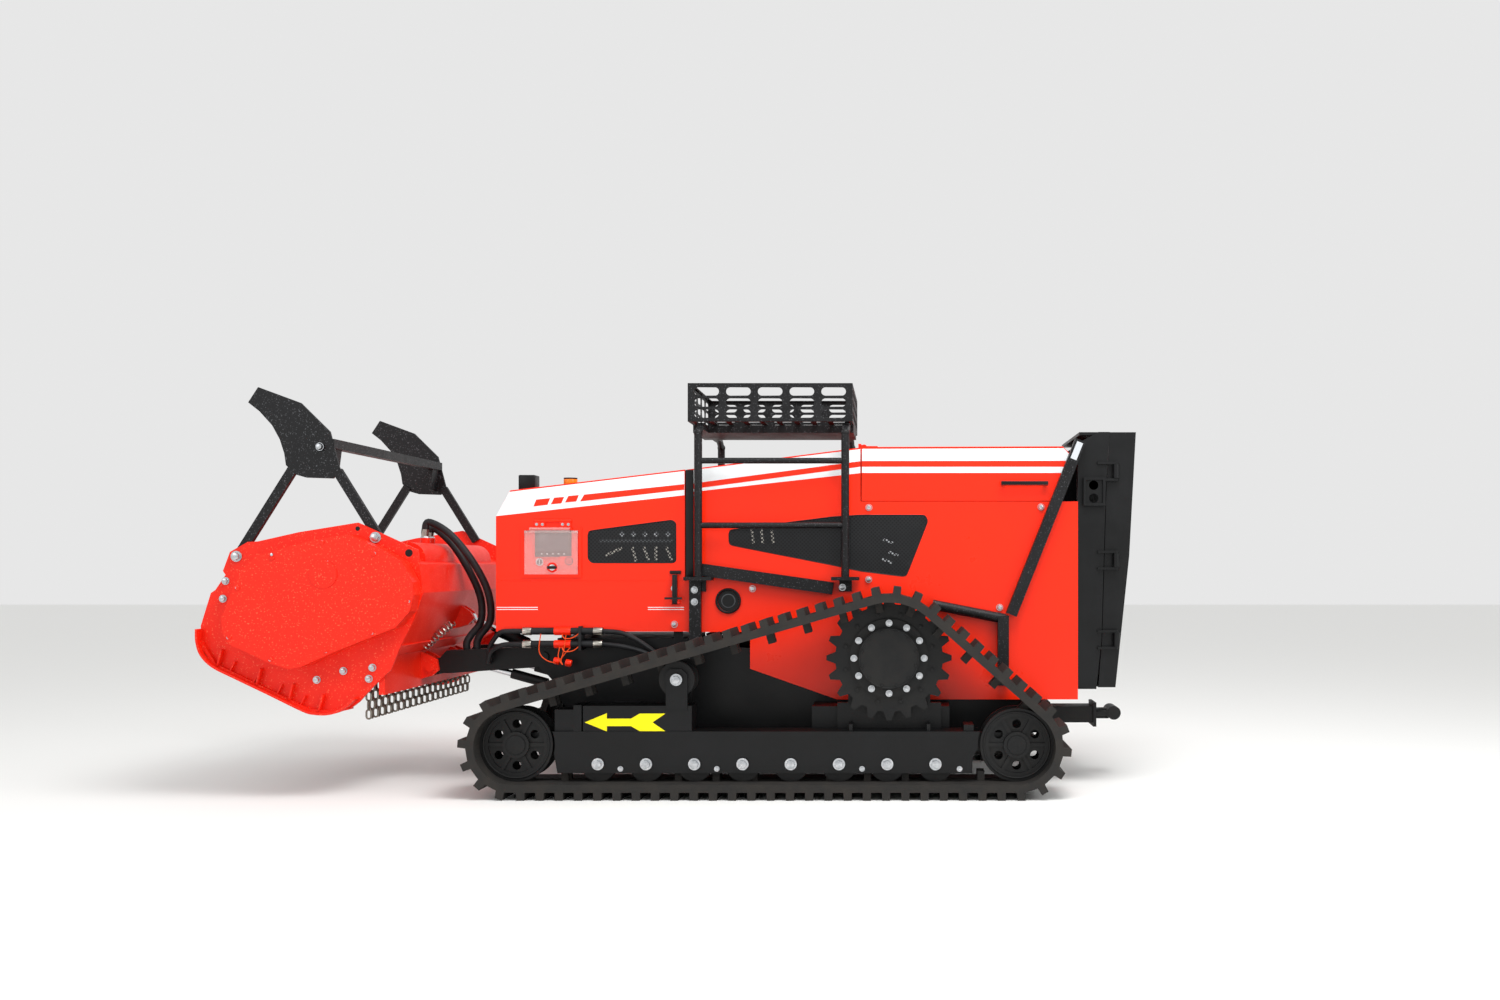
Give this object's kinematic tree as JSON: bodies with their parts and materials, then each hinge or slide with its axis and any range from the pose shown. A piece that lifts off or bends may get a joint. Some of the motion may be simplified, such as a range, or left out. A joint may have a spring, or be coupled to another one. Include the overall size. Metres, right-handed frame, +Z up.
{
  "type": "stump grinder",
  "caption": "Remote-controlled tracked carrier with a belt-driven rotary grinding head on a lift arm, tilting hood, roof basket and rear door.",
  "frame": {"origin": "ground plane under the middle of the whole machine", "axes": "-X towards the grinding head (front), +X towards the rear door, -Y the machine's left side, +Z up"},
  "size_m": [4.2879, 1.72, 1.9286],
  "materials": {
    "red": "gloss enamel",
    "red_textured": "textured enamel",
    "black": "satin powder coat",
    "iron": "painted casting",
    "steel": "zinc plated",
    "chrome": "hard chrome rod",
    "rubber": "moulded rubber",
    "clear": "clear polycarbonate",
    "plastic": "moulded black plastic",
    "red_plastic": "red plastic",
    "amber": "amber lens",
    "alu": "fin core"
  },
  "bodies": {
    "carrier": {"chassis_frame": "black", "track_frame_left": "black", "track_frame_right": "black", "track_belt_left": "rubber", "track_belt_right": "rubber", "body_panels": "red", "rear_guard": "black", "basket": "black", "ladder_frame": "black", "engine": "iron", "radiator": "alu", "tanks": "black", "hoses_chassis": "rubber", "tow_hitch": "black"},
    "sprocket_left": {"sprocket_left": "iron"},
    "front_idler_left": {"front_idler_left": "iron"},
    "rear_idler_left": {"rear_idler_left": "iron"},
    "carrier_roller_left": {"carrier_roller_left": "iron"},
    "bottom_roller_left_1": {"bottom_roller_left_1": "iron"},
    "bottom_roller_left_2": {"bottom_roller_left_2": "iron"},
    "bottom_roller_left_3": {"bottom_roller_left_3": "iron"},
    "bottom_roller_left_4": {"bottom_roller_left_4": "iron"},
    "bottom_roller_left_5": {"bottom_roller_left_5": "iron"},
    "bottom_roller_left_6": {"bottom_roller_left_6": "iron"},
    "bottom_roller_left_7": {"bottom_roller_left_7": "iron"},
    "bottom_roller_left_8": {"bottom_roller_left_8": "iron"},
    "sprocket_right": {"sprocket_right": "iron"},
    "front_idler_right": {"front_idler_right": "iron"},
    "rear_idler_right": {"rear_idler_right": "iron"},
    "carrier_roller_right": {"carrier_roller_right": "iron"},
    "bottom_roller_right_1": {"bottom_roller_right_1": "iron"},
    "bottom_roller_right_2": {"bottom_roller_right_2": "iron"},
    "bottom_roller_right_3": {"bottom_roller_right_3": "iron"},
    "bottom_roller_right_4": {"bottom_roller_right_4": "iron"},
    "bottom_roller_right_5": {"bottom_roller_right_5": "iron"},
    "bottom_roller_right_6": {"bottom_roller_right_6": "iron"},
    "bottom_roller_right_7": {"bottom_roller_right_7": "iron"},
    "bottom_roller_right_8": {"bottom_roller_right_8": "iron"},
    "hood": {"front_hood": "red", "control_panel": "red", "beacon_camera": "amber"},
    "flap": {"panel_flap": "clear"},
    "flap_catch": {"flap_latch": "plastic"},
    "estop": {"estop_button": "red_plastic"},
    "draw_latch": {"hood_latch": "rubber"},
    "lid": {"engine_lid": "red"},
    "door": {"rear_door": "black"},
    "fan": {"cooling_fan": "plastic"},
    "arm": {"lift_arm": "black", "hoses_head": "rubber"},
    "lift_tubes": {"lift_barrels": "black"},
    "lift_rod_pair": {"lift_rods": "chrome"},
    "head": {"head_housing": "red_textured", "belt_cover": "red_textured", "head_guard": "black"},
    "tilt_tube": {"tilt_barrel": "black"},
    "tilt_rod_body": {"tilt_rod": "chrome"},
    "rotor": {"head_rotor": "iron"},
    "motor": {"motor_pulley": "steel"},
    "curtain": {"chain_curtain": "steel"}
  },
  "joints": [
    {"name": "track_drive_left", "type": "hinge", "parent": "carrier", "child": "sprocket_left", "pos_m": [0.96, -0.64, 0.631], "axis": [0, 1, 0], "continuous": true},
    {"name": "front_idler_spin_left", "type": "hinge", "parent": "carrier", "child": "front_idler_left", "pos_m": [-0.735, -0.64, 0.239], "axis": [0, 1, 0], "continuous": true},
    {"name": "rear_idler_spin_left", "type": "hinge", "parent": "carrier", "child": "rear_idler_left", "pos_m": [1.541, -0.64, 0.239], "axis": [0, 1, 0], "continuous": true},
    {"name": "carrier_roller_spin_left", "type": "hinge", "parent": "carrier", "child": "carrier_roller_left", "pos_m": [-0.005, -0.64, 0.53625], "axis": [0, 1, 0], "continuous": true},
    {"name": "roller_spin_left_1", "type": "hinge", "parent": "carrier", "child": "bottom_roller_left_1", "pos_m": [-0.36, -0.64, 0.154], "axis": [0, 1, 0], "continuous": true},
    {"name": "roller_spin_left_2", "type": "hinge", "parent": "carrier", "child": "bottom_roller_left_2", "pos_m": [-0.1413, -0.64, 0.154], "axis": [0, 1, 0], "continuous": true},
    {"name": "roller_spin_left_3", "type": "hinge", "parent": "carrier", "child": "bottom_roller_left_3", "pos_m": [0.0774, -0.64, 0.154], "axis": [0, 1, 0], "continuous": true},
    {"name": "roller_spin_left_4", "type": "hinge", "parent": "carrier", "child": "bottom_roller_left_4", "pos_m": [0.2961, -0.64, 0.154], "axis": [0, 1, 0], "continuous": true},
    {"name": "roller_spin_left_5", "type": "hinge", "parent": "carrier", "child": "bottom_roller_left_5", "pos_m": [0.5148, -0.64, 0.154], "axis": [0, 1, 0], "continuous": true},
    {"name": "roller_spin_left_6", "type": "hinge", "parent": "carrier", "child": "bottom_roller_left_6", "pos_m": [0.7335, -0.64, 0.154], "axis": [0, 1, 0], "continuous": true},
    {"name": "roller_spin_left_7", "type": "hinge", "parent": "carrier", "child": "bottom_roller_left_7", "pos_m": [0.9522, -0.64, 0.154], "axis": [0, 1, 0], "continuous": true},
    {"name": "roller_spin_left_8", "type": "hinge", "parent": "carrier", "child": "bottom_roller_left_8", "pos_m": [1.1709, -0.64, 0.154], "axis": [0, 1, 0], "continuous": true},
    {"name": "track_drive_right", "type": "hinge", "parent": "carrier", "child": "sprocket_right", "pos_m": [0.96, 0.64, 0.631], "axis": [0, 1, 0], "continuous": true},
    {"name": "front_idler_spin_right", "type": "hinge", "parent": "carrier", "child": "front_idler_right", "pos_m": [-0.735, 0.64, 0.239], "axis": [0, 1, 0], "continuous": true},
    {"name": "rear_idler_spin_right", "type": "hinge", "parent": "carrier", "child": "rear_idler_right", "pos_m": [1.541, 0.64, 0.239], "axis": [0, 1, 0], "continuous": true},
    {"name": "carrier_roller_spin_right", "type": "hinge", "parent": "carrier", "child": "carrier_roller_right", "pos_m": [-0.005, 0.64, 0.53625], "axis": [0, 1, 0], "continuous": true},
    {"name": "roller_spin_right_1", "type": "hinge", "parent": "carrier", "child": "bottom_roller_right_1", "pos_m": [-0.36, 0.64, 0.154], "axis": [0, 1, 0], "continuous": true},
    {"name": "roller_spin_right_2", "type": "hinge", "parent": "carrier", "child": "bottom_roller_right_2", "pos_m": [-0.1413, 0.64, 0.154], "axis": [0, 1, 0], "continuous": true},
    {"name": "roller_spin_right_3", "type": "hinge", "parent": "carrier", "child": "bottom_roller_right_3", "pos_m": [0.0774, 0.64, 0.154], "axis": [0, 1, 0], "continuous": true},
    {"name": "roller_spin_right_4", "type": "hinge", "parent": "carrier", "child": "bottom_roller_right_4", "pos_m": [0.2961, 0.64, 0.154], "axis": [0, 1, 0], "continuous": true},
    {"name": "roller_spin_right_5", "type": "hinge", "parent": "carrier", "child": "bottom_roller_right_5", "pos_m": [0.5148, 0.64, 0.154], "axis": [0, 1, 0], "continuous": true},
    {"name": "roller_spin_right_6", "type": "hinge", "parent": "carrier", "child": "bottom_roller_right_6", "pos_m": [0.7335, 0.64, 0.154], "axis": [0, 1, 0], "continuous": true},
    {"name": "roller_spin_right_7", "type": "hinge", "parent": "carrier", "child": "bottom_roller_right_7", "pos_m": [0.9522, 0.64, 0.154], "axis": [0, 1, 0], "continuous": true},
    {"name": "roller_spin_right_8", "type": "hinge", "parent": "carrier", "child": "bottom_roller_right_8", "pos_m": [1.1709, 0.64, 0.154], "axis": [0, 1, 0], "continuous": true},
    {"name": "hood_open", "type": "hinge", "parent": "carrier", "child": "hood", "pos_m": [-0.932, 0, 0.972], "axis": [0, -1, 0], "range_deg": [0, 24]},
    {"name": "panel_flap_open", "type": "hinge", "parent": "hood", "child": "flap", "pos_m": [-0.664, -0.384, 1.23], "axis": [-1, 0, 0], "range_deg": [0, 95]},
    {"name": "flap_latch_turn", "type": "hinge", "parent": "hood", "child": "flap_catch", "pos_m": [-0.653, -0.38, 1.045], "axis": [0, 1, 0], "range_deg": [0, 90]},
    {"name": "estop_press", "type": "slide", "parent": "hood", "child": "estop", "axis": [0, 1, 0], "range_m": [0, 0.002], "stiffness_N_per_m": 1500},
    {"name": "hood_latch_swing", "type": "hinge", "parent": "carrier", "child": "draw_latch", "pos_m": [-0.065, -0.39, 0.88], "axis": [1, 0, 0], "range_deg": [0, 60]},
    {"name": "engine_lid_open", "type": "hinge", "parent": "carrier", "child": "lid", "pos_m": [0.834, 0, 1.634], "axis": [0, -1, 0], "range_deg": [0, 50]},
    {"name": "rear_door_swing", "type": "hinge", "parent": "carrier", "child": "door", "pos_m": [2.045, -0.374, 1.08], "axis": [0, 0, -1], "range_deg": [0, 95]},
    {"name": "fan_spin", "type": "hinge", "parent": "carrier", "child": "fan", "pos_m": [0.3, 0, 1], "axis": [1, 0, 0], "continuous": true},
    {"name": "arm_lift", "type": "hinge", "parent": "carrier", "child": "arm", "pos_m": [-0.721, 0, 0.61], "axis": [0, 1, 0], "range_deg": [-20, 10], "deforming": ["hoses_chassis"]},
    {"name": "lift_barrel_pivot", "type": "hinge", "parent": "carrier", "child": "lift_tubes", "pos_m": [-0.672, 0, 0.466], "axis": [0, 1, 0], "range_deg": [-30, 30]},
    {"name": "lift_rod_slide", "type": "slide", "parent": "lift_tubes", "child": "lift_rod_pair", "axis": [-0.9642, 0, 0.2653], "range_m": [-0.12, 0.12]},
    {"name": "head_tilt", "type": "hinge", "parent": "arm", "child": "head", "pos_m": [-1.27, 0, 0.56], "axis": [0, 1, 0], "range_deg": [-9, 9], "deforming": ["hoses_head"]},
    {"name": "tilt_barrel_pivot", "type": "hinge", "parent": "arm", "child": "tilt_tube", "pos_m": [-0.83, 0, 0.64], "axis": [0, 1, 0], "range_deg": [-30, 30]},
    {"name": "tilt_rod_slide", "type": "slide", "parent": "tilt_tube", "child": "tilt_rod_body", "axis": [-0.9104, 0, 0.4138], "range_m": [-0.12, 0.12]},
    {"name": "rotor_spin", "type": "hinge", "parent": "head", "child": "rotor", "pos_m": [-1.772, 0, 0.773], "axis": [0, 1, 0], "continuous": true},
    {"name": "motor_pulley_spin", "type": "hinge", "parent": "head", "child": "motor", "pos_m": [-1.551, 0, 1.016], "axis": [0, 1, 0], "continuous": true},
    {"name": "curtain_swing", "type": "hinge", "parent": "head", "child": "curtain", "pos_m": [-1.4, 0, 0.588], "axis": [0, 1, 0], "range_deg": [-12, 18]}
  ],
  "couplings": [
    {"joint": "front_idler_spin_left", "follows": "track_drive_left", "ratio": 1.4891},
    {"joint": "rear_idler_spin_left", "follows": "track_drive_left", "ratio": 1.4891},
    {"joint": "carrier_roller_spin_left", "follows": "track_drive_left", "ratio": 2.7677},
    {"joint": "roller_spin_left_1", "follows": "track_drive_left", "ratio": 2.7677},
    {"joint": "roller_spin_left_2", "follows": "track_drive_left", "ratio": 2.7677},
    {"joint": "roller_spin_left_3", "follows": "track_drive_left", "ratio": 2.7677},
    {"joint": "roller_spin_left_4", "follows": "track_drive_left", "ratio": 2.7677},
    {"joint": "roller_spin_left_5", "follows": "track_drive_left", "ratio": 2.7677},
    {"joint": "roller_spin_left_6", "follows": "track_drive_left", "ratio": 2.7677},
    {"joint": "roller_spin_left_7", "follows": "track_drive_left", "ratio": 2.7677},
    {"joint": "roller_spin_left_8", "follows": "track_drive_left", "ratio": 2.7677},
    {"joint": "front_idler_spin_right", "follows": "track_drive_right", "ratio": 1.4891},
    {"joint": "rear_idler_spin_right", "follows": "track_drive_right", "ratio": 1.4891},
    {"joint": "carrier_roller_spin_right", "follows": "track_drive_right", "ratio": 2.7677},
    {"joint": "roller_spin_right_1", "follows": "track_drive_right", "ratio": 2.7677},
    {"joint": "roller_spin_right_2", "follows": "track_drive_right", "ratio": 2.7677},
    {"joint": "roller_spin_right_3", "follows": "track_drive_right", "ratio": 2.7677},
    {"joint": "roller_spin_right_4", "follows": "track_drive_right", "ratio": 2.7677},
    {"joint": "roller_spin_right_5", "follows": "track_drive_right", "ratio": 2.7677},
    {"joint": "roller_spin_right_6", "follows": "track_drive_right", "ratio": 2.7677},
    {"joint": "roller_spin_right_7", "follows": "track_drive_right", "ratio": 2.7677},
    {"joint": "roller_spin_right_8", "follows": "track_drive_right", "ratio": 2.7677},
    {"joint": "lift_barrel_pivot", "follows": "arm_lift", "ratio": 0.80545},
    {"joint": "lift_rod_slide", "follows": "arm_lift", "m_per_rad": 0.12976},
    {"joint": "tilt_barrel_pivot", "follows": "head_tilt", "ratio": -0.01989},
    {"joint": "tilt_rod_slide", "follows": "head_tilt", "m_per_rad": -0.25294},
    {"joint": "motor_pulley_spin", "follows": "rotor_spin", "ratio": 1.2805}
  ]
}
